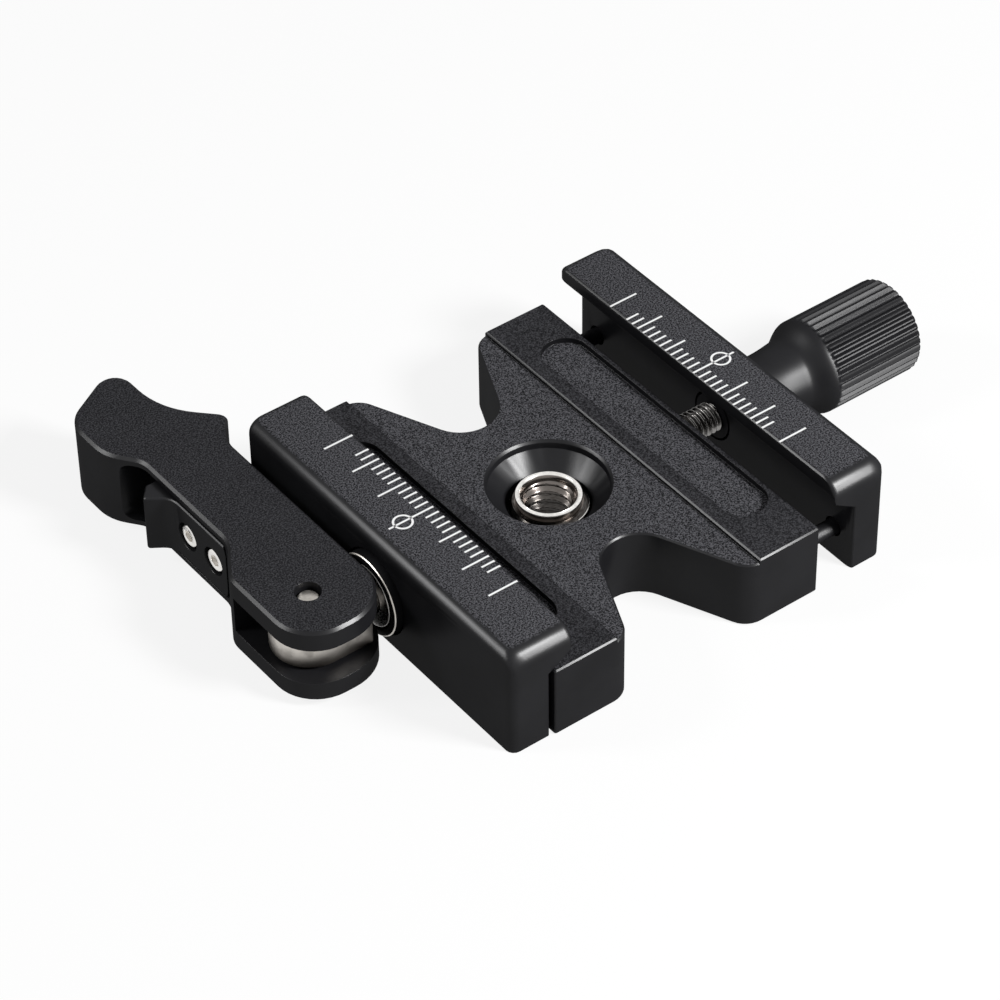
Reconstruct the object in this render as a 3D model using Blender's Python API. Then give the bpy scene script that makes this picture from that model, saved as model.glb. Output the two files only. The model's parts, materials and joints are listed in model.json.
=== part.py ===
"""Dovetail quick release clamp with a locking cam lever on one side and a screw knob on the other.

Blender 4.5 script, metres, +Z up. The clamp stands on the flat underside of its base. +X points from
the lever to the knob, +Y along the dovetail towards the lever's finger end. The tripod bushing's axis
is x = 0, y = 0 of the empty "clamp", which is shifted so that the world origin lies under the middle
of the whole object.
"""

from math import atan2, cos, hypot, pi, radians, sin, tan

import bmesh
import bpy
from mathutils import Vector

MM = 0.001

# Gap between touching pieces, and between a moving piece and its guide.
FIT = 0.3 * MM

# Base
BASE_HALF_WIDTH = 18.9 * MM
BASE_HALF_LENGTH = 25.5 * MM
WEB_TOP = 9.15 * MM
LEDGE_TOP = 9.7 * MM
CHANNEL_HALF_WIDTH = 10.15 * MM
BASE_CORNER_RADIUS = 0.3 * MM
BASE_CHAMFER = 0.2 * MM
BASE_TOE_RADIUS = 3.0 * MM
NOTCH_BOTTOM = 12.35 * MM
NOTCH_RADIUS = 4.45 * MM
NOTCH_FLARE = radians(23.7)
POCKET_X = 15.2 * MM
POCKET_HALF_WIDTH = 3.0 * MM
POCKET_HALF_LENGTH = 19.2 * MM
POCKET_DEPTH = 0.75 * MM

# Central recess and its threaded bushing
RECESS_RADIUS = 7.45 * MM
RECESS_CHAMFER = 0.3 * MM
RECESS_WALL = 0.8 * MM
RECESS_CONE_DEPTH = 2.0 * MM
BUSHING_RADIUS = 4.7 * MM
BUSHING_LIP_RADIUS = 3.95 * MM
BUSHING_TOP = 7.3 * MM
BUSHING_SHOULDER = 0.75 * MM
BUSHING_BORE = 2.6 * MM
BUSHING_MOUTH = 3.3 * MM

# Jaws
JAW_HALF_LENGTH = 25.1 * MM
JAW_TOP = 14.4 * MM
LIP_LAND_Z = 12.5 * MM
LIP_LAND_FILLET = 0.3 * MM
LIP_OVERHANG = 3.1 * MM
LEVER_JAW_WALL = 5.4 * MM
KNOB_JAW_WALL = 4.6 * MM
KNOB_JAW_OPEN = 5.4 * MM
JAW_FILLET = 1.6 * MM
LIP_FILLET = 0.5 * MM
JAW_END_FILLET = 1.1 * MM
JAW_END_TOP_SHARE = 0.5
JAW_END_INNER_SHARE = 0.3

# Shaft line, shared by the eye bolt and the knob's screw
AXIS_Z = 6.2 * MM
STUD_RADIUS = 2.0 * MM
SCREW_RADIUS = 1.9 * MM
STUD_WALL_TO_RECESS = 1.6 * MM

# Guide pins and the springs behind the lever jaw's pins
PIN_RADIUS = 1.0 * MM
PIN_TO_JAW_END = 3.3 * MM
PIN_Z = 4.3 * MM
PIN_SEAT = 3.3 * MM
PIN_BORE_DEPTH = 8.9 * MM
LEVER_PIN_ENGAGEMENT = 4.0 * MM
KNOB_PIN_ENGAGEMENT = 3.1 * MM
RETURN_WIRE = 0.22 * MM
RETURN_TURNS = 5

# Lever, drawn round its pivot; its finger end points to +Y when it is shut
PIVOT_TO_BASE = 14.7 * MM
LEVER_THICKNESS = 10.4 * MM
FORK_SLOT = 5.0 * MM
SLOT_END = 6.6 * MM
CAM_FLAT = 7.4 * MM
CAM_NEAR = 6.95 * MM
CAM_BACK = 5.7 * MM
CAM_BACK_END = 7.2 * MM
CAM_RADIUS = 6.3 * MM
CAM_BACK_RADIUS = 5.4 * MM
CAM_BACK_BLEND = 3.5 * MM
WAIST_BACK = 2.4 * MM
WAIST_START = 12.3 * MM
WAIST_END = 29.4 * MM
WAIST_BLEND = 3.0 * MM
CAM_BLEND = 4.0 * MM
BULGE_START = 33.2 * MM
BULGE_END = 40.6 * MM
BULGE_BACK = 5.3 * MM
BULGE_RADIUS = 4.8 * MM
BULGE_BLEND = 6.0 * MM
HOOK_START = 26.2 * MM
HOOK_TIP = (10.1 * MM, 30.4 * MM)
HOOK_TIP_RADIUS = 1.3 * MM
HOOK_NECK_RADIUS = 2.5 * MM
HOLLOW = (4.5 * MM, 36.2 * MM)
HOLLOW_RADIUS = 11.0 * MM
LEVER_TIP = (4.4 * MM, 46.2 * MM)
LEVER_TIP_RADIUS = 2.3 * MM
LEVER_CHAMFER = 0.35 * MM
PIVOT_PIN_RADIUS = 1.25 * MM
PIVOT_PIN_RECESS = 0.9 * MM
EYE_RADIUS = 4.7 * MM
EYE_FRONT = 5.4 * MM
EYE_NOTCH_DEPTH = 1.1 * MM

# Thrust cup and ring on the lever jaw
CUP_RADIUS = 5.2 * MM
CUP_PROUD = 1.05 * MM
CUP_SEAT = 0.9 * MM
CUP_DISH = 0.8 * MM
CUP_RIM = 0.9 * MM
RING_THICKNESS = 0.5 * MM

# Lock: tab in the lever's outer side, bar in its channel, two screws and a spring
TAB_HALF_HEIGHT = 3.9 * MM
TAB_START = 12.6 * MM
TAB_END = 27.1 * MM
TAB_PROUD = 0.2 * MM
TAB_THICKNESS = 2.2 * MM
TAB_FLARE = 2.6 * MM
POCKET_END = 31.8 * MM
TAB_POCKET_RADIUS = 1.3 * MM
TAB_CORNER_RADIUS = 2.4 * MM
BAR_HALF_HEIGHT = 1.5 * MM
BAR_THICKNESS = 3.2 * MM
BAR_NOSE = 5.1 * MM
BAR_END = 23.5 * MM
CHANNEL_END = 30.1 * MM
LOCK_SCREW_Y = (15.3 * MM, 20.5 * MM)
LOCK_HEAD_RADIUS = 1.5 * MM
LOCK_HEAD_HEIGHT = 0.85 * MM
LOCK_SHANK_RADIUS = 1.0 * MM
LOCK_HEX = 0.75 * MM
LOCK_HEX_DEPTH = 0.5 * MM
LOCK_WIRE = 0.2 * MM
LOCK_TURNS = 7

# Knob
KNOB_RADIUS = 6.0 * MM
KNOB_NECK_RADIUS = 4.6 * MM
KNOB_NECK_LENGTH = 6.5 * MM
KNOB_FLARE_LENGTH = 3.2 * MM
KNOB_LENGTH = 22.65 * MM
FLUTE_COUNT = 40
FLUTE_DEPTH = 0.4 * MM
KNOB_END_BEVEL = 0.45 * MM
SCREW_TIP_DEPTH = 4.4 * MM
SCREW_IN_KNOB = 9.0 * MM
WASHER_RADIUS = 4.0 * MM
WASHER_THICKNESS = 0.8 * MM
CLIP_RADIUS = 2.9 * MM
CLIP_THICKNESS = 0.6 * MM
CLIP_NECK = 1.55 * MM

# Round pieces' number of sides
SIDES = 32
SMALL_SIDES = 16

# Places that follow from the sizes above
PIN_Y = JAW_HALF_LENGTH - PIN_TO_JAW_END
LEVER_JAW_INNER = -BASE_HALF_WIDTH - FIT
LEVER_JAW_OUTER = LEVER_JAW_INNER - LEVER_JAW_WALL
KNOB_JAW_INNER = BASE_HALF_WIDTH + KNOB_JAW_OPEN
KNOB_JAW_OUTER = KNOB_JAW_INNER + KNOB_JAW_WALL
PIVOT_X = -BASE_HALF_WIDTH - PIVOT_TO_BASE
KNOB_START = KNOB_JAW_OUTER + FIT
KNOB_TIP = KNOB_START + KNOB_LENGTH
BORE_RADIUS = PIN_RADIUS + FIT
TAB_OUTER = -WAIST_BACK - TAB_PROUD
TAB_INNER = TAB_OUTER + TAB_THICKNESS
POCKET_FLOOR = TAB_INNER + FIT
CHANNEL_FLOOR = POCKET_FLOOR + BAR_THICKNESS + FIT
BAR_X = POCKET_FLOOR + BAR_THICKNESS / 2


def material(name, colour, roughness, metallic):
    """A Principled material of one colour."""
    made = bpy.data.materials.new(name)
    made.use_nodes = True
    shader = made.node_tree.nodes["Principled BSDF"]
    shader.inputs["Base Color"].default_value = (*colour, 1.0)
    shader.inputs["Roughness"].default_value = roughness
    shader.inputs["Metallic"].default_value = metallic
    return made


def finish(name, mesh, finish_material, parent, at=(0, 0, 0)):
    """Cleans a bmesh, makes it an object at a place under its parent, and shades it."""
    bmesh.ops.remove_doubles(mesh, verts=mesh.verts, dist=1e-6)
    bmesh.ops.dissolve_degenerate(mesh, dist=1e-6, edges=mesh.edges)
    bmesh.ops.recalc_face_normals(mesh, faces=mesh.faces)
    data = bpy.data.meshes.new(name)
    mesh.to_mesh(data)
    mesh.free()
    data.shade_smooth()
    data.set_sharp_from_angle(angle=radians(30))
    made = bpy.data.objects.new(name, data)
    bpy.context.collection.objects.link(made)
    made.parent = parent
    made.location = at
    if finish_material:
        data.materials.append(finish_material)
    return made


def boolean(target, other, operation="DIFFERENCE"):
    """Adds an exact Boolean with a hidden helper that moves with the target."""
    other.hide_render = True
    other.display_type = "WIRE"
    step = target.modifiers.new(other.name, "BOOLEAN")
    step.operation = operation
    step.solver = "EXACT"
    step.object = other


def outline(corners, inset=0.0):
    """Points of a closed polygon run anticlockwise, moved in by inset, with each corner rounded.

    A corner is (x, y, radius, segments). A convex radius shrinks by the inset and a hollow one grows.
    """
    count = len(corners)
    points = []
    for i, (x, y, radius, segments) in enumerate(corners):
        before = Vector(corners[i - 1][:2])
        here = Vector((x, y))
        after = Vector(corners[(i + 1) % count][:2])
        way_in = (here - before).normalized()
        way_out = (after - here).normalized()
        turn = atan2(way_in.x * way_out.y - way_in.y * way_out.x, way_in.dot(way_out))
        left = Vector((-way_in.y, way_in.x))
        here = here + left * inset + way_in * (inset * tan(-turn / 2))
        bend = radius - inset if turn > 0 else radius + inset
        if radius <= 0 or bend <= 1e-6:
            points += [here.copy() for _ in range(segments + 1 if radius > 0 else 1)]
            continue
        tangent = bend * tan(abs(turn) / 2)
        side = 1 if turn > 0 else -1
        centre = here - way_in * tangent + left * (bend * side)
        start = atan2(-left.y * side, -left.x * side)
        for k in range(segments + 1):
            angle = start + turn * k / segments
            points.append(centre + Vector((cos(angle), sin(angle))) * bend)
    return points


def rings_to_solid(rings):
    """A closed mesh through rings of equally many points, the ends filled."""
    mesh = bmesh.new()
    loops = [[mesh.verts.new(point) for point in ring] for ring in rings]
    for low, high in zip(loops, loops[1:]):
        for i in range(len(low)):
            j = (i + 1) % len(low)
            mesh.faces.new((low[i], low[j], high[j], high[i]))
    mesh.faces.new(reversed(loops[0]))
    mesh.faces.new(loops[-1])
    return mesh


def plate(corners, bottom, top, bottom_chamfer=0.0, top_chamfer=0.0):
    """An upright prism of a rounded outline with chamfered rims."""
    levels = [(bottom_chamfer, bottom), (0.0, bottom + bottom_chamfer)]
    levels += [(0.0, top - top_chamfer), (top_chamfer, top)]
    rings = []
    for inset, height in levels:
        ring = [(p.x, p.y, height) for p in outline(corners, inset)]
        if not rings or height > rings[-1][0][2] + 1e-9:
            rings.append(ring)
    return rings_to_solid(rings)


def turned(profile, sides=SIDES):
    """A solid of revolution about X from (x, radius) points; a profile that leaves the axis is closed."""
    mesh = bmesh.new()
    rings = []
    for x, radius in profile:
        count = sides if radius > 0 else 1
        angles = [2 * pi * k / sides for k in range(count)]
        rings.append([mesh.verts.new((x, radius * cos(a), radius * sin(a))) for a in angles])
    pairs = list(zip(rings, rings[1:]))
    if profile[0][1] > 0:
        pairs.append((rings[-1], rings[0]))
    for low, high in pairs:
        for k in range(sides):
            j = (k + 1) % sides
            corners = (low[k % len(low)], low[j % len(low)], high[j % len(high)], high[k % len(high)])
            corners = list(dict.fromkeys(corners))
            if len(corners) > 2:
                mesh.faces.new(corners)
    return mesh


def turn_from_x(mesh, direction):
    """Turns a mesh that was made about X so that it lies along another direction."""
    turn = Vector((1, 0, 0)).rotation_difference(Vector(direction)).to_matrix()
    bmesh.ops.rotate(mesh, verts=mesh.verts, cent=(0, 0, 0), matrix=turn)
    return mesh


def stand_up(mesh):
    """Turns a mesh that was made about X so that it stands about Z."""
    return turn_from_x(mesh, (0, 0, 1))


def rod(start, end, radius, sides=SIDES, bevel=0.0):
    """A round bar along X with bevelled ends."""
    profile = [(start, 0.0), (start, radius - bevel), (start + bevel, radius)]
    profile += [(end - bevel, radius), (end, radius - bevel), (end, 0.0)]
    return turned(profile, sides)


def coil(length, radius, wire, turns, steps=12, sides=5):
    """A closed coil spring along X from x = 0, with its wire's centre line at radius."""
    count = turns * steps
    rings = []
    lead = (length - 2 * wire) / count
    for k in range(count + 1):
        angle = 2 * pi * k / steps
        out = Vector((0, cos(angle), sin(angle)))
        centre = out * radius + Vector((wire + lead * k, 0, 0))
        ring = []
        for s in range(sides):
            around = 2 * pi * s / sides
            ring.append(centre + out * (wire * cos(around)) + Vector((wire * sin(around), 0, 0)))
        rings.append(ring)
    return rings_to_solid(rings)


def hex_hole(start, end, flat):
    """A hexagonal prism along X, its flats at the given distance from the axis."""
    mesh = turned([(start, 0.0), (start, flat / cos(pi / 6)), (end, flat / cos(pi / 6)), (end, 0.0)], 6)
    return mesh


def cutter(name, mesh, target, at=(0, 0, 0)):
    """Cuts a mesh out of a target, both drawn under the target's parent."""
    helper = finish(name, mesh, None, target.parent, at)
    boolean(target, helper)
    return helper


def jaw_section(inner, outer, inset):
    """The jaw's outline in X and Z, its outer side moved in by inset, its top and its inner side by shares of it.

    inner is the face towards the base and outer the far one; the lip reaches inwards over the base.
    """
    side = 1 if outer > inner else -1
    outer -= side * inset
    inner += side * inset * JAW_END_INNER_SHARE
    tip = inner - side * LIP_OVERHANG
    top = JAW_TOP - inset * JAW_END_TOP_SHARE
    corners = [
        (inner, 0.0, 0.0, 1),
        (outer, 0.0, 0.0, 1),
        (outer, top, JAW_FILLET, 6),
        (tip, top, LIP_FILLET, 3),
        (tip, LIP_LAND_Z, LIP_LAND_FILLET, 2),
        (inner, LIP_LAND_Z - LIP_OVERHANG, 0.0, 1),
    ]
    if side < 0:
        corners = corners[::-1]
    return outline(corners)


def jaw(name, inner, outer, finish_material, parent):
    """A jaw bar: its section run along Y, drawn in at both ends round the fillet."""
    steps = 4
    stations = []
    for k in range(steps + 1):
        angle = pi / 2 * k / steps
        stations.append((JAW_HALF_LENGTH - JAW_END_FILLET * (1 - sin(angle)), JAW_END_FILLET * (1 - cos(angle))))
    stations = [(-y, inset) for y, inset in reversed(stations)] + stations
    rings = [[(p.x, y, p.y) for p in jaw_section(inner, outer, inset)] for y, inset in stations]
    return finish(name, rings_to_solid(rings), finish_material, parent)


def base_corners():
    """The base's outline: a rectangle with a flared notch in each short side.

    A notch's round bottom is tangent to both flanks, so it is the rounded corner where they would meet.
    """
    centre = NOTCH_BOTTOM + NOTCH_RADIUS
    apex = centre - NOTCH_RADIUS / sin(NOTCH_FLARE)
    mouth = (BASE_HALF_LENGTH - apex) * tan(NOTCH_FLARE)
    corners = []
    for end in (1, -1):
        corners += [
            (end * BASE_HALF_WIDTH, end * BASE_HALF_LENGTH, BASE_CORNER_RADIUS, 3),
            (end * mouth, end * BASE_HALF_LENGTH, BASE_TOE_RADIUS, 6),
            (0.0, end * apex, NOTCH_RADIUS, 14),
            (-end * mouth, end * BASE_HALF_LENGTH, BASE_TOE_RADIUS, 6),
            (-end * BASE_HALF_WIDTH, end * BASE_HALF_LENGTH, BASE_CORNER_RADIUS, 3),
        ]
    return corners


def channel_cut():
    """A channel along Y between the ledges, its upper edges chamfered; the web is left standing in it."""
    bottom = WEB_TOP - BASE_CHAMFER
    top = LEDGE_TOP + MM
    flare = CHANNEL_HALF_WIDTH + MM + BASE_CHAMFER
    section = [
        (-CHANNEL_HALF_WIDTH, bottom),
        (CHANNEL_HALF_WIDTH, bottom),
        (CHANNEL_HALF_WIDTH, LEDGE_TOP - BASE_CHAMFER),
        (flare, top),
        (-flare, top),
        (-CHANNEL_HALF_WIDTH, LEDGE_TOP - BASE_CHAMFER),
    ]
    reach = BASE_HALF_LENGTH + MM
    return rings_to_solid([[(x, y, z) for x, z in section] for y in (-reach, reach)])


def slot_corners(x, half_width, half_length):
    """A slot with round ends, along Y."""
    radius = half_width - 1e-5
    return [
        (x + half_width, half_length, radius, 7),
        (x - half_width, half_length, radius, 7),
        (x - half_width, -half_length, radius, 7),
        (x + half_width, -half_length, radius, 7),
    ]


def make_base(black, parent):
    base = finish("base_body", plate(base_corners(), 0.0, LEDGE_TOP, BASE_CHAMFER, BASE_CHAMFER), black, parent)
    channel = cutter("channel", channel_cut(), base)
    web = finish("web", plate(base_corners(), 0.0, WEB_TOP, BASE_CHAMFER, BASE_CHAMFER), None, parent)
    boolean(channel, web)
    for side, label in ((-1, "lever"), (1, "knob")):
        pocket = plate(
            slot_corners(side * POCKET_X, POCKET_HALF_WIDTH, POCKET_HALF_LENGTH),
            LEDGE_TOP - POCKET_DEPTH,
            LEDGE_TOP + MM,
        )
        cutter(label + "_pocket", pocket, base)
    wall = WEB_TOP - RECESS_CHAMFER - RECESS_WALL
    bore = BUSHING_RADIUS + FIT
    profile = [
        (-MM, 0.0),
        (-MM, bore),
        (wall - RECESS_CONE_DEPTH, bore),
        (wall, RECESS_RADIUS - RECESS_CHAMFER),
        (wall + RECESS_WALL, RECESS_RADIUS - RECESS_CHAMFER),
        (WEB_TOP + MM, RECESS_RADIUS + MM),
        (WEB_TOP + MM, 0.0),
    ]
    cutter("bushing_hole", stand_up(turned(profile, 48)), base)
    stud_depth = BASE_HALF_WIDTH - RECESS_RADIUS - STUD_WALL_TO_RECESS
    for side, radius, label in ((-1, STUD_RADIUS, "stud"), (1, SCREW_RADIUS, "screw")):
        deep = side * (BASE_HALF_WIDTH - stud_depth)
        low, high = sorted((deep, side * (BASE_HALF_WIDTH + MM)))
        cutter(label + "_bore", rod(low, high, radius + FIT, 20), base, (0, 0, AXIS_Z))
        for end in (-1, 1):
            low, high = sorted((side * (BASE_HALF_WIDTH - PIN_BORE_DEPTH), side * (BASE_HALF_WIDTH + MM)))
            place = (0, end * PIN_Y, PIN_Z)
            cutter(f"{label}_pin_bore_{end}", rod(low, high, BORE_RADIUS, SMALL_SIDES), base, place)
    return base


def make_bushing(steel, parent):
    top, bottom = BUSHING_TOP, FIT
    lead = BUSHING_MOUTH - BUSHING_BORE
    profile = [
        (bottom + lead, BUSHING_BORE),
        (bottom, BUSHING_MOUTH),
        (bottom, BUSHING_RADIUS - BASE_CHAMFER),
        (bottom + BASE_CHAMFER, BUSHING_RADIUS),
        (top - BUSHING_SHOULDER, BUSHING_RADIUS),
        (top - BUSHING_SHOULDER + 0.25 * MM, BUSHING_LIP_RADIUS),
        (top, BUSHING_LIP_RADIUS),
        (top, BUSHING_MOUTH),
        (top - lead, BUSHING_BORE),
    ]
    return finish("tripod_bushing", stand_up(turned(profile, SIDES)), steel, parent)


def make_jaws(black, lever_frame, knob_frame):
    lever_jaw = jaw("lever_jaw", LEVER_JAW_INNER, LEVER_JAW_OUTER, black, lever_frame)
    cup_seat = LEVER_JAW_OUTER + CUP_SEAT + FIT
    profile = [
        (LEVER_JAW_OUTER - MM, 0.0),
        (LEVER_JAW_OUTER - MM, CUP_RADIUS + FIT),
        (cup_seat, CUP_RADIUS + FIT),
        (cup_seat, STUD_RADIUS + FIT),
        (LEVER_JAW_INNER + MM, STUD_RADIUS + FIT),
        (LEVER_JAW_INNER + MM, 0.0),
    ]
    cutter("stud_path", turned(profile, SIDES), lever_jaw, (0, 0, AXIS_Z))
    knob_jaw = jaw("knob_jaw", KNOB_JAW_INNER, KNOB_JAW_OUTER, black, knob_frame)
    clip_seat = KNOB_JAW_INNER + CLIP_THICKNESS + FIT
    washer_seat = KNOB_JAW_OUTER - WASHER_THICKNESS
    profile = [
        (KNOB_JAW_INNER - MM, 0.0),
        (KNOB_JAW_INNER - MM, CLIP_RADIUS + FIT),
        (clip_seat, CLIP_RADIUS + FIT),
        (clip_seat, SCREW_RADIUS + FIT),
        (washer_seat, SCREW_RADIUS + FIT),
        (washer_seat, WASHER_RADIUS + FIT),
        (KNOB_JAW_OUTER + MM, WASHER_RADIUS + FIT),
        (KNOB_JAW_OUTER + MM, 0.0),
    ]
    cutter("screw_path", turned(profile, 24), knob_jaw, (0, 0, AXIS_Z))
    for end in (-1, 1):
        place = (0, end * PIN_Y, PIN_Z)
        seat = rod(LEVER_JAW_INNER - PIN_SEAT, LEVER_JAW_INNER + MM, BORE_RADIUS, SMALL_SIDES)
        cutter(f"lever_pin_seat_{end}", seat, lever_jaw, place)
        seat = rod(KNOB_JAW_INNER - MM, KNOB_JAW_INNER + PIN_SEAT, BORE_RADIUS, SMALL_SIDES)
        cutter(f"knob_pin_seat_{end}", seat, knob_jaw, place)


def make_pins_and_springs(steel, base_frame, lever_frame, knob_frame):
    bore_end = -BASE_HALF_WIDTH + PIN_BORE_DEPTH
    pin_end = -BASE_HALF_WIDTH + LEVER_PIN_ENGAGEMENT
    for end, label in ((-1, "near"), (1, "far")):
        place = (0, end * PIN_Y, PIN_Z)
        start = LEVER_JAW_INNER - PIN_SEAT + FIT
        pin = rod(start, pin_end, PIN_RADIUS, SMALL_SIDES, 0.2 * MM)
        finish("lever_guide_pin_" + label, pin, steel, lever_frame, place)
        start = BASE_HALF_WIDTH - KNOB_PIN_ENGAGEMENT
        pin = rod(start, KNOB_JAW_INNER + PIN_SEAT - FIT, PIN_RADIUS, SMALL_SIDES, 0.2 * MM)
        finish("knob_guide_pin_" + label, pin, steel, knob_frame, place)
        length = bore_end - pin_end - 2 * FIT
        spring = coil(length, PIN_RADIUS - RETURN_WIRE, RETURN_WIRE, RETURN_TURNS)
        finish("return_spring_" + label, spring, steel, base_frame, (pin_end + FIT, end * PIN_Y, PIN_Z))


def make_eye_bolt(silver, steel, pivot):
    """Eye block with its stud in one piece, and the lever's pin through it."""
    half = FORK_SLOT / 2 - FIT
    corners = [
        (EYE_FRONT, EYE_RADIUS, 0.3 * MM, 2),
        (-EYE_RADIUS, EYE_RADIUS, EYE_RADIUS - 1e-5, 12),
        (-EYE_RADIUS, -EYE_RADIUS, EYE_RADIUS - 1e-5, 12),
        (EYE_FRONT, -EYE_RADIUS, 0.3 * MM, 2),
    ]
    eye = finish("eye_bolt", plate(corners, -half, half, 0.2 * MM, 0.2 * MM), silver, pivot)
    stud_depth = BASE_HALF_WIDTH - RECESS_RADIUS - STUD_WALL_TO_RECESS - FIT
    stud_end = PIVOT_TO_BASE + stud_depth
    stud = rod(EYE_FRONT - MM, stud_end, STUD_RADIUS, 20, 0.3 * MM)
    boolean(eye, finish("stud", stud, None, pivot), "UNION")
    hole = stand_up(rod(-half - MM, half + MM, PIVOT_PIN_RADIUS + FIT, 20))
    cutter("eye_hole", hole, eye)
    notch = [
        (CHANNEL_FLOOR, EYE_RADIUS - EYE_NOTCH_DEPTH, 0.0, 1),
        (CHANNEL_FLOOR, EYE_RADIUS + MM, 0.0, 1),
        (POCKET_FLOOR - FIT, EYE_RADIUS + MM, 0.0, 1),
        (POCKET_FLOOR - FIT, EYE_RADIUS - EYE_NOTCH_DEPTH, 0.0, 1),
    ]
    reach = BAR_HALF_HEIGHT + FIT
    cutter("eye_notch", plate(notch, -reach, reach), eye)
    reach = LEVER_THICKNESS / 2 - PIVOT_PIN_RECESS
    finish("lever_pivot_pin", stand_up(rod(-reach, reach, PIVOT_PIN_RADIUS, 20, 0.15 * MM)), steel, pivot)


def lever_corners():
    """The lever seen from above, round its pivot: cam, waist, and the hooked finger end."""
    return [
        (CAM_FLAT, -CAM_NEAR, CAM_RADIUS, 12),
        (CAM_FLAT, HOOK_START, HOOK_NECK_RADIUS, 4),
        (*HOOK_TIP, HOOK_TIP_RADIUS, 6),
        (*HOLLOW, HOLLOW_RADIUS, 8),
        (*LEVER_TIP, LEVER_TIP_RADIUS, 8),
        (-BULGE_BACK, BULGE_END, BULGE_RADIUS, 8),
        (-BULGE_BACK, BULGE_START, BULGE_BLEND, 6),
        (-WAIST_BACK, WAIST_END, WAIST_BLEND, 4),
        (-WAIST_BACK, WAIST_START, CAM_BLEND, 5),
        (-CAM_BACK, CAM_BACK_END, CAM_BACK_BLEND, 5),
        (-CAM_BACK, -CAM_NEAR, CAM_BACK_RADIUS, 10),
    ]


def side_prism(corners, start, end):
    """A prism along X of an outline given in Y and Z."""
    rings = [[(x, p.x, p.y) for p in outline(corners)] for x in (start, end)]
    return rings_to_solid(rings)


def side_window(start, end, half_height, radius):
    """A rounded rectangle in Y and Z about the lever's middle height."""
    return [
        (end, half_height, radius, 5),
        (start, half_height, radius, 5),
        (start, -half_height, radius, 5),
        (end, -half_height, radius, 5),
    ]


def make_lever(black, frame):
    half = LEVER_THICKNESS / 2
    lever = finish("lever", plate(lever_corners(), -half, half, LEVER_CHAMFER, LEVER_CHAMFER), black, frame)
    reach = CAM_FLAT + CAM_NEAR
    slot = [
        (reach, -reach, 0.0, 1),
        (reach, SLOT_END, 0.0, 1),
        (-reach, SLOT_END, 0.0, 1),
        (-reach, -reach, 0.0, 1),
    ]
    cutter("fork_slot", plate(slot, -FORK_SLOT / 2, FORK_SLOT / 2), lever)
    cutter("pivot_hole", stand_up(rod(-half - MM, half + MM, PIVOT_PIN_RADIUS + FIT, 20)), lever)
    window = side_window(TAB_START - FIT, POCKET_END, TAB_HALF_HEIGHT + FIT, TAB_POCKET_RADIUS)
    cutter("tab_pocket", side_prism(window, -CAM_BACK - MM, POCKET_FLOOR), lever)
    channel = side_window(SLOT_END - MM, CHANNEL_END, BAR_HALF_HEIGHT + FIT, 0.0)
    cutter("lock_channel", side_prism(channel, POCKET_FLOOR - MM, CHANNEL_FLOOR), lever)
    return lever


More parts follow.
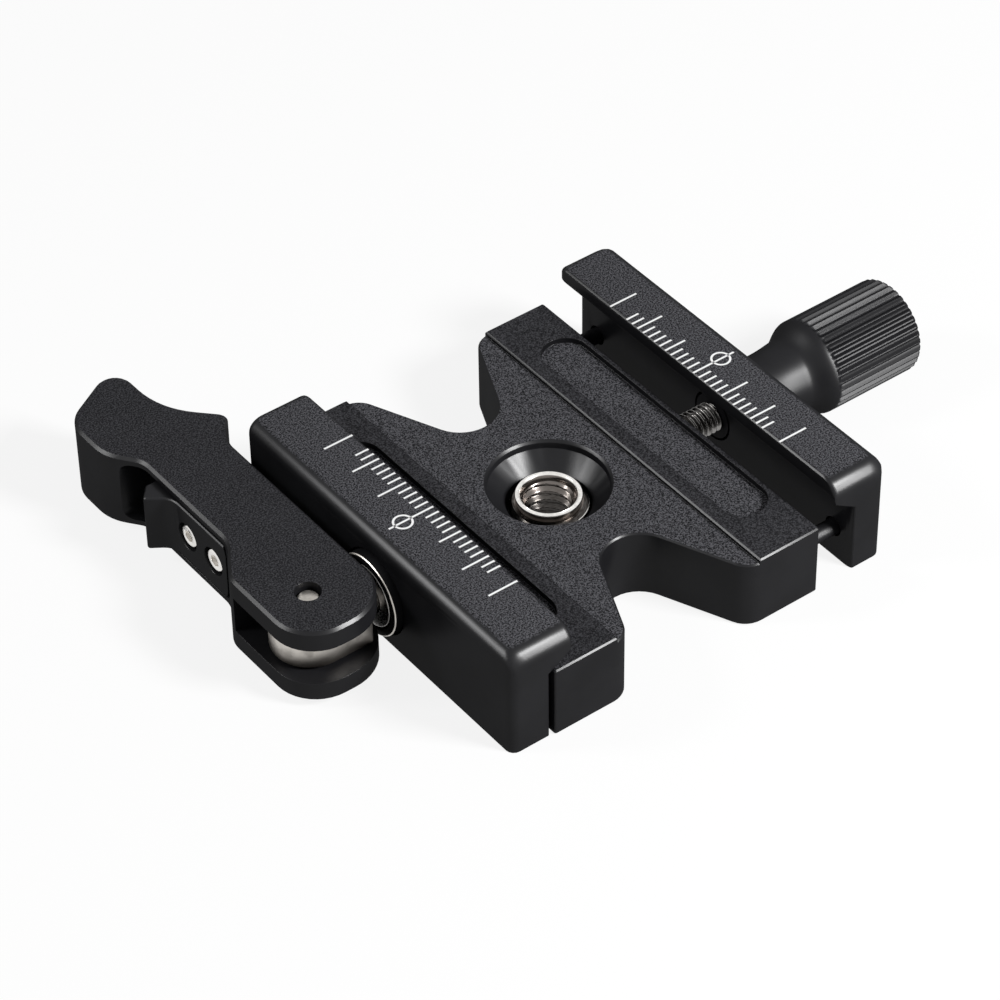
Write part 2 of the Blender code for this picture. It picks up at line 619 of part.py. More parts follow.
def make_lock(black, steel, frame, lever_frame):
    middle = TAB_END - TAB_FLARE * 0.7
    corners = [
        (TAB_INNER, TAB_START, 0.0, 1),
        (TAB_INNER, TAB_END, 0.0, 1),
        (TAB_OUTER - 0.4 * TAB_FLARE, TAB_END, 0.3 * MM, 2),
        (TAB_OUTER - TAB_FLARE, middle, 0.3 * MM, 2),
        (TAB_OUTER, middle - 0.7 * TAB_FLARE, 2.6 * MM, 5),
        (TAB_OUTER, TAB_START, 0.0, 1),
    ]
    tab = finish("lock_tab", plate(corners, -TAB_HALF_HEIGHT, TAB_HALF_HEIGHT, 0.2 * MM, 0.2 * MM), black, frame)
    window = side_window(TAB_START, TAB_END + MM, TAB_HALF_HEIGHT + MM, TAB_CORNER_RADIUS)
    helper = finish("tab_window", side_prism(window, TAB_OUTER - TAB_FLARE - MM, TAB_INNER + MM), None, frame)
    boolean(tab, helper, "INTERSECT")
    bar_corners = [
        (POCKET_FLOOR + BAR_THICKNESS, BAR_NOSE, 0.6 * MM, 3),
        (POCKET_FLOOR + BAR_THICKNESS, BAR_END, 0.0, 1),
        (POCKET_FLOOR, BAR_END, 0.0, 1),
        (POCKET_FLOOR, BAR_NOSE, 0.6 * MM, 3),
    ]
    bar = finish("lock_bar", plate(bar_corners, -BAR_HALF_HEIGHT, BAR_HALF_HEIGHT), steel, frame)
    head_seat = TAB_OUTER + LOCK_HEAD_HEIGHT + FIT + TAB_PROUD
    hole_end = POCKET_FLOOR + BAR_THICKNESS - FIT
    for y, label in zip(LOCK_SCREW_Y, ("rear", "front")):
        place = (0, y, 0)
        clearance = LOCK_SHANK_RADIUS + FIT
        profile = [
            (TAB_OUTER - MM, 0.0),
            (TAB_OUTER - MM, LOCK_HEAD_RADIUS + FIT),
            (head_seat, LOCK_HEAD_RADIUS + FIT),
            (head_seat, clearance),
            (hole_end, clearance),
            (hole_end, 0.0),
        ]
        cutter(label + "_tab_hole", turned(profile, 20), tab, place)
        cutter(label + "_bar_hole", turned(profile, 20), bar, place)
        top = TAB_OUTER + TAB_PROUD
        bevel = 0.15 * MM
        profile = [
            (top, 0.0),
            (top, LOCK_HEAD_RADIUS - bevel),
            (top + bevel, LOCK_HEAD_RADIUS),
            (top + LOCK_HEAD_HEIGHT, LOCK_HEAD_RADIUS),
            (top + LOCK_HEAD_HEIGHT, LOCK_SHANK_RADIUS),
            (hole_end - FIT, LOCK_SHANK_RADIUS),
            (hole_end - FIT, 0.0),
        ]
        screw = finish("lock_screw_" + label, turned(profile, 20), steel, frame, place)
        cutter(label + "_hex", hex_hole(top - MM, top + LOCK_HEX_DEPTH, LOCK_HEX), screw, place)
    start = BAR_END + FIT
    spring = coil(CHANNEL_END - start - FIT, BAR_HALF_HEIGHT - LOCK_WIRE, LOCK_WIRE, LOCK_TURNS)
    turn_from_x(spring, (0, 1, 0))
    finish("lock_spring", spring, steel, lever_frame, (BAR_X, start, 0))


def make_thrust_pieces(black, steel, frame):
    back = LEVER_JAW_OUTER + CUP_SEAT
    front = LEVER_JAW_OUTER - CUP_PROUD
    bore = STUD_RADIUS + FIT
    rim = CUP_RADIUS - CUP_RIM
    bevel = 0.15 * MM
    profile = [
        (back, bore),
        (back, CUP_RADIUS),
        (front + bevel, CUP_RADIUS),
        (front, CUP_RADIUS - bevel),
        (front, rim),
        (front + CUP_DISH, rim),
        (front + CUP_DISH, bore),
    ]
    finish("thrust_cup", turned(profile, SIDES), black, frame, (0, 0, AXIS_Z))
    ring_back = front + CUP_DISH - FIT
    ring_front = ring_back - RING_THICKNESS
    profile = [
        (ring_back, bore),
        (ring_back, rim - FIT),
        (ring_front + bevel, rim - FIT),
        (ring_front, rim - FIT - bevel),
        (ring_front, bore),
    ]
    finish("thrust_ring", turned(profile, SIDES), steel, frame, (0, 0, AXIS_Z))


def knob_radius(x):
    """The knob's smooth radius at a distance x from its neck's end: neck, S-shaped flare, head."""
    flare = (x - KNOB_NECK_LENGTH) / KNOB_FLARE_LENGTH
    share = min(max(flare, 0.0), 1.0)
    share = share * share * (3 - 2 * share)
    waist = 0.25 * MM * sin(pi * min(x / KNOB_NECK_LENGTH, 1.0))
    return KNOB_NECK_RADIUS - waist + (KNOB_RADIUS - KNOB_NECK_RADIUS) * share


def make_knob(black, steel, frame):
    """Fluted knob with a blind bore, and the screw, washer and clip on its line."""
    per_flute = 4
    around = FLUTE_COUNT * per_flute
    flutes_start = KNOB_NECK_LENGTH + KNOB_FLARE_LENGTH
    flute_lead = 0.5 * MM
    stations = [(0.0, 0.0), (KNOB_NECK_LENGTH * 0.5, 0.0)]
    for k in range(7):
        stations.append((KNOB_NECK_LENGTH + KNOB_FLARE_LENGTH * k / 6, 0.0))
    stations += [(flutes_start + flute_lead, 1.0), (KNOB_LENGTH - KNOB_END_BEVEL, 1.0)]
    rings = []
    for x, depth in stations:
        ring = []
        for k in range(around):
            angle = 2 * pi * k / around
            groove = (0.0, 0.6, 1.0, 0.6)[k % per_flute] * FLUTE_DEPTH * depth
            radius = knob_radius(x) - groove
            ring.append((x, radius * cos(angle), radius * sin(angle)))
        rings.append(ring)
    inner = KNOB_RADIUS - KNOB_END_BEVEL - FLUTE_DEPTH
    rings.append([(KNOB_LENGTH, inner * y / hypot(y, z), inner * z / hypot(y, z)) for _, y, z in rings[-1]])
    knob = finish("knob", rings_to_solid(rings), black, frame, (KNOB_START, 0, AXIS_Z))
    bore = rod(KNOB_START - MM, KNOB_START + SCREW_IN_KNOB + FIT, SCREW_RADIUS + FIT, 20)
    cutter("knob_bore", bore, knob, (0, 0, AXIS_Z))
    tip = BASE_HALF_WIDTH - SCREW_TIP_DEPTH
    neck_start = KNOB_JAW_INNER - FIT
    neck_end = neck_start + CLIP_THICKNESS + 2 * FIT
    bevel = 0.4 * MM
    profile = [
        (tip, 0.0),
        (tip, SCREW_RADIUS - bevel),
        (tip + bevel, SCREW_RADIUS),
        (neck_start, SCREW_RADIUS),
        (neck_start, CLIP_NECK),
        (neck_end, CLIP_NECK),
        (neck_end, SCREW_RADIUS),
        (KNOB_START + SCREW_IN_KNOB, SCREW_RADIUS),
        (KNOB_START + SCREW_IN_KNOB, 0.0),
    ]
    finish("knob_screw", turned(profile, 20), steel, frame, (0, 0, AXIS_Z))
    clip_start = neck_start + FIT
    profile = [
        (clip_start, CLIP_NECK + FIT / 2),
        (clip_start + CLIP_THICKNESS, CLIP_NECK + FIT / 2),
        (clip_start + CLIP_THICKNESS, CLIP_RADIUS),
        (clip_start, CLIP_RADIUS),
    ]
    finish("knob_clip", turned(profile, 24), steel, frame, (0, 0, AXIS_Z))
    washer_start = KNOB_JAW_OUTER - WASHER_THICKNESS + FIT
    washer_end = KNOB_START - FIT
    profile = [
        (washer_start, SCREW_RADIUS + FIT),
        (washer_end, SCREW_RADIUS + FIT),
        (washer_end, WASHER_RADIUS),
        (washer_start, WASHER_RADIUS),
    ]
    finish("knob_washer", turned(profile, 24), steel, frame, (0, 0, AXIS_Z))


def empty(name, parent, at):
    made = bpy.data.objects.new(name, None)
    bpy.context.collection.objects.link(made)
    made.parent = parent
    made.location = at
    return made


def main():
    for old in list(bpy.data.objects):
        bpy.data.objects.remove(old, do_unlink=True)
    black = material("black_anodised", (0.028, 0.029, 0.032), 0.45, 0.6)
    steel = material("bright_steel", (0.62, 0.60, 0.57), 0.25, 1.0)
    silver = material("nickel_eye", (0.70, 0.66, 0.60), 0.32, 1.0)
    dark_steel = material("dark_steel", (0.30, 0.29, 0.28), 0.35, 1.0)
    tip_y = max(point.y for point in outline(lever_corners()))
    middle_x = (PIVOT_X - CAM_BACK + KNOB_TIP) / 2
    middle_y = (tip_y - BASE_HALF_LENGTH) / 2
    clamp = empty("clamp", None, (-middle_x, -middle_y, 0))
    lever_jaw_frame = empty("lever_jaw_slide", clamp, (0, 0, 0))
    knob_jaw_frame = empty("knob_jaw_slide", clamp, (0, 0, 0))
    knob_frame = empty("knob_turn", knob_jaw_frame, (0, 0, 0))
    pivot = empty("pivot", clamp, (PIVOT_X, 0, AXIS_Z))
    lever_frame = empty("lever_swing", pivot, (0, 0, 0))
    lock_frame = empty("lock_slide", lever_frame, (0, 0, 0))
    make_base(black, clamp)
    make_bushing(steel, clamp)
    make_jaws(black, lever_jaw_frame, knob_jaw_frame)
    make_pins_and_springs(dark_steel, clamp, lever_jaw_frame, knob_jaw_frame)
    make_eye_bolt(silver, steel, pivot)
    make_lever(black, lever_frame)
    make_lock(black, steel, lock_frame, lever_frame)
    make_thrust_pieces(black, steel, lever_jaw_frame)
    make_knob(black, dark_steel, knob_frame)


main()
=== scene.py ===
"""Dresses the dovetail quick release clamp: finishes, threads, ridges, printed scales and the studio."""

import json

import bmesh
import bpy
import numpy as np
from mathutils import Matrix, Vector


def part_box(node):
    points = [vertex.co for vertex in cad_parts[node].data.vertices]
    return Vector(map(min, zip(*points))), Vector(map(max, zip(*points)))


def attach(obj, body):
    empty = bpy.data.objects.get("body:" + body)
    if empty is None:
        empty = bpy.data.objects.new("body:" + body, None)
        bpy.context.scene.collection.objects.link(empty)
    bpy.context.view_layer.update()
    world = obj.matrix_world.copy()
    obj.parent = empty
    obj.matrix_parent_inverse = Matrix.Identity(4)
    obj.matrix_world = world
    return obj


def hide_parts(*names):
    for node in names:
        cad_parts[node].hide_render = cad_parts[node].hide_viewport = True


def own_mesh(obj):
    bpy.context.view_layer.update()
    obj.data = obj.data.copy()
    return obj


bl_info = {
    "name": "Quick Release Clamp Dressing",
    "version": (1, 0, 0),
    "blender": (4, 5, 0),
    "location": "View3D > Sidebar > Clamp",
    "description": "Gives the packed clamp its finishes, threads, ridges and scales, and lights it",
    "category": "Object",
}

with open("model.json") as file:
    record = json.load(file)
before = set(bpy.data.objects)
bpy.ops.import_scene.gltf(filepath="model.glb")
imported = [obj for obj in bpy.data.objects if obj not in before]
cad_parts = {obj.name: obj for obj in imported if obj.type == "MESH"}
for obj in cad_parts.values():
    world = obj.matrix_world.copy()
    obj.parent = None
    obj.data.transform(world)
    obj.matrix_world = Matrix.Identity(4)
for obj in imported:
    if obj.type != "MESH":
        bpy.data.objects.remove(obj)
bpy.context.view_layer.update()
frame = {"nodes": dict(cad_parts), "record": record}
MM = 0.001
X, Y, Z = range(3)


def middle(node):
    """The middle of a node's box, in metres."""
    low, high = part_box(node)
    return (np.array(low) + np.array(high)) / 2


def span(node, axis):
    """A node's lowest and highest place along an axis."""
    low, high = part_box(node)
    return low[axis], high[axis]


def radius_of(node, axis):
    """Half of a round node's width along an axis."""
    low, high = span(node, axis)
    return (high - low) / 2


# The bushing's axis is the clamp's middle, and the knob's screw gives the height of the knob and the eye.
CENTRE = middle("tripod_bushing") * (1, 1, 0)
AXIS = middle("knob_screw")
PIVOT = middle("lever_pivot_pin")
JAW_TOP = span("lever_jaw", Z)[1]
LEVER_TOP = span("lever", Z)[1]
LEDGE = span("base_body", Z)[1]
BUSHING_TOP = span("tripod_bushing", Z)[1]

# The jaws' ends: height below which nothing is reshaped, and the rounding that the solids have.
JAW_SHOULDER = 9.4 * MM
SOLID_END_ROUND = 1.1 * MM

# Edges that turn by more than this many degrees are rounded and shaded as edges.
EDGE_ANGLE = 28

# The collection of the pieces that the sheen lamps shine on.
ANODISED_PIECES = "Anodised pieces"


class ClampSizes(bpy.types.PropertyGroup):
    """Sizes of the detail that the solids leave out."""

    edge_round: bpy.props.FloatProperty(
        name="Edge round", description="Rounding of the milled edges", default=0.1 * MM, unit="LENGTH"
    )
    jaw_end_round: bpy.props.FloatProperty(
        name="Jaw end round", description="Rounding of the jaws' top ends", default=2.2 * MM, unit="LENGTH"
    )
    ridges: bpy.props.IntProperty(
        name="Ridges", description="Ridges round the knob's grip", default=36, min=8
    )
    ridge_depth: bpy.props.FloatProperty(
        name="Ridge depth", description="Depth of the grooves of the grip", default=0.46 * MM, unit="LENGTH"
    )
    screw_pitch: bpy.props.FloatProperty(
        name="Screw pitch", description="Pitch of the knob's screw", default=0.7 * MM, unit="LENGTH"
    )
    bushing_pitch: bpy.props.FloatProperty(
        name="Bushing pitch", description="Pitch outside the bushing", default=1.5875 * MM, unit="LENGTH"
    )
    tripod_pitch: bpy.props.FloatProperty(
        name="Tripod pitch", description="Pitch inside the bushing", default=1.27 * MM, unit="LENGTH"
    )
    mark_step: bpy.props.FloatProperty(
        name="Scale step", description="Distance between the scale's lines", default=1.03 * MM, unit="LENGTH"
    )
    mark_width: bpy.props.FloatProperty(
        name="Line width", description="Width of a line of the scale", default=0.27 * MM, unit="LENGTH"
    )


class ClampFinishes(bpy.types.PropertyGroup):
    """Colours of the finishes."""

    black: bpy.props.FloatVectorProperty(
        name="Black anodising", description="Smooth faces", subtype="COLOR", default=(0.0125, 0.0125, 0.014)
    )
    # Partly painted reflection: the blasted tops' colour is their grain, made lighter in part to stand in for
    # the sheen their weaker coat leaves out.
    blasted: bpy.props.FloatVectorProperty(
        name="Blasted tops", description="Blasted faces", subtype="COLOR", default=(0.062, 0.062, 0.068)
    )
    # Painted shade: this dark, dull colour of the bushing's threads stands in for the shade in the bore and
    # round it.
    bore: bpy.props.FloatVectorProperty(
        name="Dull plating", description="Bushing's threads", subtype="COLOR", default=(0.145, 0.127, 0.115)
    )
    steel: bpy.props.FloatVectorProperty(
        name="Bright steel", description="Bushing and screws", subtype="COLOR", default=(0.86, 0.84, 0.81)
    )
    satin: bpy.props.FloatVectorProperty(
        name="Satin steel", description="Eye, pin and lock bar", subtype="COLOR", default=(0.56, 0.53, 0.49)
    )
    # Painted shade: the eye's lower part is painted this dark colour, for its shade and the black fork's
    # reflection below it.
    eye_foot_shade: bpy.props.FloatVectorProperty(
        name="Eye's foot", description="Dull foot of the eye", subtype="COLOR", default=(0.09, 0.08, 0.07)
    )
    dark: bpy.props.FloatVectorProperty(
        name="Dark steel", description="Knob's screw and springs", subtype="COLOR", default=(0.30, 0.29, 0.28)
    )
    print_white: bpy.props.FloatVectorProperty(
        name="Scale white", description="Marked lines", subtype="COLOR", default=(0.86, 0.86, 0.86)
    )


class ClampStudio(bpy.types.PropertyGroup):
    """The floor and the light."""

    floor: bpy.props.FloatVectorProperty(
        name="Floor", description="Colour of the floor as seen", subtype="COLOR", default=(0.93, 0.93, 0.93)
    )
    table: bpy.props.FloatVectorProperty(
        name="Bounce", description="Colour that lights from below", subtype="COLOR", default=(0.2, 0.2, 0.2)
    )
    sky: bpy.props.FloatProperty(
        name="Sky", description="Strength of the room's light", default=0.14, min=0, subtype="FACTOR"
    )
    key: bpy.props.FloatProperty(
        name="Key", description="Power of the front lamp", default=4.0, min=0, unit="POWER"
    )
    back: bpy.props.FloatProperty(
        name="Back", description="Power of the left lamp", default=0.8, min=0, unit="POWER"
    )
    front_sheen: bpy.props.FloatProperty(
        name="Front sheen", description="Power of the front glow in gloss", default=14.0, min=0, unit="POWER"
    )
    left_sheen: bpy.props.FloatProperty(
        name="Left sheen", description="Power of the left glow in gloss", default=5.2, min=0, unit="POWER"
    )


class Value:
    """A shader value. The operators on it, with a number or another value, add their Math nodes."""

    def __init__(self, tree, socket):
        self.tree = tree
        self.socket = socket

    def math(self, operation, first, second):
        return Nodes(self.tree).node("ShaderNodeMath", {"operation": operation}, i0=first, i1=second)

    def __add__(self, other):
        return self.math("ADD", self, other)

    def __sub__(self, other):
        return self.math("SUBTRACT", self, other)

    def __rsub__(self, other):
        return self.math("SUBTRACT", other, self)

    def __mul__(self, other):
        return self.math("MULTIPLY", self, other)

    def __gt__(self, other):
        return self.math("GREATER_THAN", self, other)

    def __lt__(self, other):
        return self.math("LESS_THAN", self, other)

    def greater(self, other):
        """The greater of two values."""
        return self.math("MAXIMUM", self, other)

    __radd__ = __add__
    __rmul__ = __mul__


class Nodes:
    """A shader's node tree, which grows by node()."""

    def __init__(self, tree):
        self.tree = tree

    def feed(self, slot, value):
        """Links a value to a socket, or writes a number, a vector or a colour there."""
        if isinstance(value, Value):
            self.tree.links.new(value.socket, slot)
        elif slot.type == "RGBA":
            slot.default_value = (*value[:3], 1)
        else:
            slot.default_value = value

    def node(self, kind, settings=None, output=0, **values):
        """A new node's output. Its settings are made first, then its inputs, by name or as i and a number."""
        made = self.tree.nodes.new(kind)
        for name, value in (settings or {}).items():
            setattr(made, name, value)
        for name, value in values.items():
            self.feed(made.inputs[int(name[1:]) if name[1:].isdigit() else name.replace("_", " ")], value)
        return Value(self.tree, made.outputs[output])

    def mix(self, factor, first, second):
        """Two colours, mixed."""
        return self.node("ShaderNodeMix", {"data_type": "RGBA"}, output=2, i0=factor, i6=first, i7=second)

    def background_rays(self):
        """1 for rays that show the background: the camera's, and those off gloss or through glass."""
        camera, glossy, through = (
            self.node("ShaderNodeLightPath", output=f"Is {kind} Ray")
            for kind in ("Camera", "Glossy", "Transmission")
        )
        return camera.greater(glossy).greater(through)


class Finish(Nodes):
    """A material whose Principled shader is fed by set()."""

    def __init__(self, name):
        self.material = bpy.data.materials.new(name)
        self.material.use_nodes = True
        super().__init__(self.material.node_tree)
        self.shader = self.tree.nodes["Principled BSDF"]

    def place(self):
        """Object coordinates."""
        return self.node("ShaderNodeTexCoord", output="Object")

    def height(self):
        """The place along Z, in metres."""
        return self.node("ShaderNodeSeparateXYZ", output=Z, Vector=self.place())

    def upward(self):
        """How far the surface looks up in the piece's own frame, from -1 to 1."""
        normal = self.node("ShaderNodeTexCoord", output="Normal")
        return self.node("ShaderNodeSeparateXYZ", output=Z, Vector=normal)

    def noise(self, size, detail, finer=(1, 1, 1)):
        """Noise about 0.5, whose cells measure size, or less along an axis that is finer by a factor."""
        at = self.node("ShaderNodeMapping", i0=self.place(), Scale=finer)
        return self.node("ShaderNodeTexNoise", Vector=at, Scale=1 / size, Detail=detail)

    def between(self, value, low, high, to_low=0.0, to_high=1.0):
        """A smooth step from to_low to to_high as value goes from low to high."""
        smooth = {"interpolation_type": "SMOOTHSTEP"}
        return self.node("ShaderNodeMapRange", smooth, Value=value, i1=low, i2=high, i3=to_low, i4=to_high)

    def bump(self, height, distance, strength):
        """A normal that is tilted by relief of that height, where 1 stands for the distance."""
        return self.node("ShaderNodeBump", Height=height, Distance=distance, Strength=strength)

    def set(self, **values):
        """Feeds the Principled shader's sockets by name."""
        for name, value in values.items():
            self.feed(self.shader.inputs[name.replace("_", " ")], value)


def tint(colour, factor):
    """A colour times a number."""
    return tuple(min(channel * factor, 1.0) for channel in colour)


def anodised(name, colours, share, above=0.0, ledge=None):
    """Black anodised aluminium: tops are blasted to a grain of light and dark specks, the rest is smooth.

    The blasted share, from 0 to 1, falls on faces that look up in the piece's own frame and lie above a
    height; above the height ledge, where one is given, it is less than half as strong. A thin, weak coat of
    high index gives a sheen that hardly grows towards grazing angles, as the sealed oxide does. It is weaker
    on the blasted tops, and a turned piece, with no share, has a duller one all over.
    """
    made = Finish(name)
    specks = made.noise(0.20 * MM, 2.0)
    dust = made.noise(0.11 * MM, 1.0)
    clouds = made.noise(6 * MM, 3.0)
    top = made.between(made.upward(), 0.93, 0.995) * (made.height() > above)
    flat = top * share
    if ledge:
        flat = flat * made.between(made.height(), ledge - 0.1 * MM, ledge, 1.0, 0.45)
    grain = made.between(specks * 0.6 + dust * 0.4, 0.40, 0.62)
    plain = made.mix(made.between(clouds, 0.3, 0.7), tint(colours.black, 0.85), tint(colours.black, 1.15))
    # Partly painted reflection: the blasted colour is real grain, lighter in part to stand in for the room's
    # sheen that the tops' weaker coat no longer gives.
    blasted = made.mix(grain, tint(colours.blasted, 0.15), tint(colours.blasted, 1.85))
    wear = (clouds - 0.5) * 0.07 + (specks - 0.5) * 0.06
    made.set(
        Base_Color=made.mix(flat, plain, blasted),
        Metallic=0.0,
        Specular_IOR_Level=0.0,
        Roughness=flat * 0.1 + 0.55 + wear,
        Normal=made.bump(specks * 0.7 + dust * 0.3, 0.014 * MM, flat * 0.7 + 0.10),
        Coat_Weight=top * -0.043 + 0.052 if share else 0.04,
        Coat_Roughness=0.31 if share else 0.38,
        Coat_IOR=3.0,
    )


def turned_metal(name, colour, rough, rings, stain, foot_shade=None):
    """Turned or ground metal: fine tool lines along one direction, faint stains, and a lower part painted
    darker as shade.

    rings says how many times finer the tool lines are along X, Y and Z. The last argument gives the two
    heights between which the metal goes from a darker colour, painted shade, to its own, and that colour.
    """
    made = Finish(name)
    lines = made.noise(0.5 * MM, 2.0, rings)
    clouds = made.noise(1.6 * MM, 3.0)
    fine = made.noise(0.12 * MM, 2.0)
    dull = made.between(clouds, 0.42, 0.66)
    base = made.mix(dull * stain, colour, tint(colour, 0.45))
    base = made.mix(made.between(lines, 0.35, 0.65) * 0.25, base, tint(colour, 0.7))
    if foot_shade:
        # Painted shade: below these heights the metal is painted darker, for the shade and the black fork's
        # reflection.
        low, high, dark = foot_shade
        base = made.mix(made.between(made.height(), low, high), dark, base)
    made.set(
        Base_Color=base,
        Metallic=1.0,
        Roughness=rough + (lines - 0.5) * 0.12 + dull * 0.12,
        Normal=made.bump(lines * 0.6 + fine * 0.4, 0.008 * MM, 0.4),
    )


def bushing_metal(name, colour, dull):
    """The bushing's plating: a bright top ring, dull threads inside and bright crests on dark threads
    outside.
    The dull and dark colours of the threads are painted shade of the bore and of the black recess round it.

    away is the distance from the bushing's axis, which tells the inside from the outside and the crests
    from the grooves.
    """
    made = Finish(name)
    lines = made.noise(0.5 * MM, 2.0, (1, 1, 14))
    fine = made.noise(0.12 * MM, 2.0)
    outwards = made.node("ShaderNodeMapping", i0=made.place(), Location=tuple(-CENTRE), Scale=(1, 1, 0))
    away = made.node("ShaderNodeVectorMath", {"operation": "LENGTH"}, output="Value", i0=outwards)
    # Painted shade: the threads inside are painted darker the deeper they lie in the bore.
    depth_shade = made.between(made.height(), BUSHING_TOP - 4 * MM, BUSHING_TOP - 0.8 * MM)
    ring = made.between(made.height(), BUSHING_TOP - 0.10 * MM, BUSHING_TOP - 0.03 * MM)
    crest = made.between(away, 4.60 * MM, 4.67 * MM)
    inside = made.mix(ring, made.mix(depth_shade, tint(dull, 0.2), dull), colour)
    # Painted shade: outside, the grooves between the bright crests are painted nearly black, for shade and
    # the black recess in their gloss.
    outside = made.mix(crest, tint(dull, 0.22), colour)
    base = made.mix(away > 4.02 * MM, inside, outside)
    made.set(
        Base_Color=made.mix(made.between(lines, 0.35, 0.65) * 0.2, base, tint(colour, 0.3)),
        Metallic=1.0,
        Roughness=0.2 + (lines - 0.5) * 0.1,
        Normal=made.bump(lines * 0.6 + fine * 0.4, 0.006 * MM, 0.35),
    )


def marked(name, colour):
    """Laser-marked white: matt, a little uneven where the grain shows through."""
    made = Finish(name)
    specks = made.noise(0.14 * MM, 2.0)
    made.set(
        Base_Color=made.mix(made.between(specks, 0.5, 0.8) * 0.35, colour, tint(colour, 0.55)),
        Roughness=0.7 + (specks - 0.5) * 0.2,
        Normal=made.bump(specks, 0.008 * MM, 0.5),
    )


def finishes():
    """The clamp's finishes by name, made once, with the collection for the anodised pieces."""
    colours = bpy.context.scene.clamp_finishes
    if ANODISED_PIECES not in bpy.data.collections:
        bpy.data.collections.new(ANODISED_PIECES)
        anodised("Black anodised", colours, 1.0, JAW_TOP - 0.5 * MM)
        anodised("Black anodised, fine", colours, 0.40, LEVER_TOP - 0.5 * MM)
        anodised("Black anodised, base", colours, 0.95, LEDGE - 1.5 * MM, LEDGE)
        anodised("Black anodised, turned", colours, 0.0)
        # Painted shade: the eye's lower part darkens towards this colour, for its shade and the black fork's
        # reflection.
        foot_shade = (AXIS[Z] - 2.2 * MM, AXIS[Z] + 0.6 * MM, colours.eye_foot_shade)
        turned_metal("Bright steel", colours.steel, 0.20, (1, 1, 14), 0.15)
        turned_metal("Satin steel", colours.satin, 0.34, (3, 3, 16), 0.40)
        turned_metal("Eye steel", colours.satin, 0.34, (3, 3, 16), 0.50, foot_shade)
        turned_metal("Dark steel", colours.dark, 0.24, (12, 1, 1), 0.35)
        bushing_metal("Plated bushing", colours.steel, colours.bore)
        marked("Scale white", colours.print_white)
    return bpy.data.materials


def dress(made, finish, node, nodes=()):
    """Gives a piece its finish and the body of a solid, and hides the solids that it stands for."""
    record = frame["record"]
    body = next(name for name, held in record["behaviour"]["bodies"].items() if node in held)
    made.data.materials.clear()
    made.data.materials.append(finishes()[finish])
    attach(made, body)
    if nodes:
        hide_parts(*nodes)
    if finish.startswith("Black"):
        bpy.data.collections[ANODISED_PIECES].objects.link(made)


def dress_node(made, node, finish):
    """Dresses a piece that stands for one solid."""
    dress(made, finish, node, [node])


def placed(name, data):
    """A mesh, lamp or camera as an object in the scene, at the origin."""
    made = bpy.data.objects.new(name, data)
    bpy.context.collection.objects.link(made)
    return made


def shade(mesh, angle):
    """Smooth shading with edges sharper than the angle, in degrees, kept sharp."""
    mesh.shade_smooth()
    mesh.set_sharp_from_angle(angle=np.radians(angle))


def close(mesh, angle):
    """Merges doubled points, turns the faces outwards and shades them."""
    work = bmesh.new()
    work.from_mesh(mesh)
    bmesh.ops.remove_doubles(work, verts=work.verts, dist=1e-7)
    bmesh.ops.recalc_face_normals(work, faces=work.faces)
    if work.calc_volume(signed=True) < 0:
        bmesh.ops.reverse_faces(work, faces=work.faces)
    work.to_mesh(mesh)
    work.free()
    shade(mesh, angle)


def grid_faces(rows, columns, ring):
    """Quads of a grid of points whose columns run round. With ring the last row joins the first."""
    row, column = np.meshgrid(np.arange(rows if ring else rows - 1), np.arange(columns), indexing="ij")
    here, after = row * columns, (row + 1) % rows * columns
    beside = (column + 1) % columns
    return np.stack([here + column, here + beside, after + beside, after + column], -1).reshape(-1, 4)


def surface(name, points, ring=False, angle=32):
    """An object from a grid of points, rows x columns x 3, whose columns run round and join up.

    With ring the last row joins the first, as on a washer; otherwise both ends are closed by a face.
    """
    rows, columns = points.shape[:2]
    faces = grid_faces(rows, columns, ring).tolist()
    if not ring:
        faces += [list(range(columns)), list(range((rows - 1) * columns, rows * columns))]
    mesh = bpy.data.meshes.new(name)
    mesh.from_pydata(points.reshape(-1, 3).tolist(), [], faces)
    close(mesh, angle)
    return placed(name, mesh)


def rounded(corners, steps):
    """A closed outline through corners (x, y, radius), each corner an arc tangent to both its sides.

    The arc's centre lies off the corner by the radius along each side's inward normal, and the arc turns
    from one side's direction to the next one's in equal steps.
    """
    points = []
    corners = np.array(corners, float)
    for before, here, after in zip(np.roll(corners, 1, 0), corners, np.roll(corners, -1, 0)):
        corner, radius = here[:2], here[2]
        if radius <= 0:
            points.append(corner[None])
            continue
        way_in = (corner - before[:2]) / np.hypot(*(corner - before[:2]))
        way_out = (after[:2] - corner) / np.hypot(*(after[:2] - corner))
        turn = np.arctan2(way_in[0] * way_out[1] - way_in[1] * way_out[0], way_in @ way_out)
        inward = np.array([-way_in[1], way_in[0]]) * np.sign(turn)
        centre = corner - way_in * radius * np.tan(abs(turn) / 2) + inward * radius
        angles = np.arctan2(-inward[1], -inward[0]) + turn * np.linspace(0, 1, steps + 1)
        points.append(centre + radius * np.stack([np.cos(angles), np.sin(angles)], 1))
    return np.concatenate(points)


def level(radii, sides):
    """Rows of radii that are the same all the way round."""
    return np.repeat(np.array(radii, float)[:, None], sides, 1)


def revolved(along, radius, centre, axis):
    """Points of a profile turned round an axis.

    A point is the centre plus its place along the axis plus its radius times cosine and sine of the turn.
    The radius has a row for each place along the axis and a column for each turn.
    """
    sides = radius.shape[1]
    turn = np.linspace(0, 2 * np.pi, sides, endpoint=False)
    points = np.zeros((len(along), sides, 3))
    points[:, :, axis] = along[:, None]
    points[:, :, (axis + 1) % 3] = radius * np.cos(turn)
    points[:, :, (axis + 2) % 3] = radius * np.sin(turn)
    return points + centre * (1 - np.eye(3)[axis])


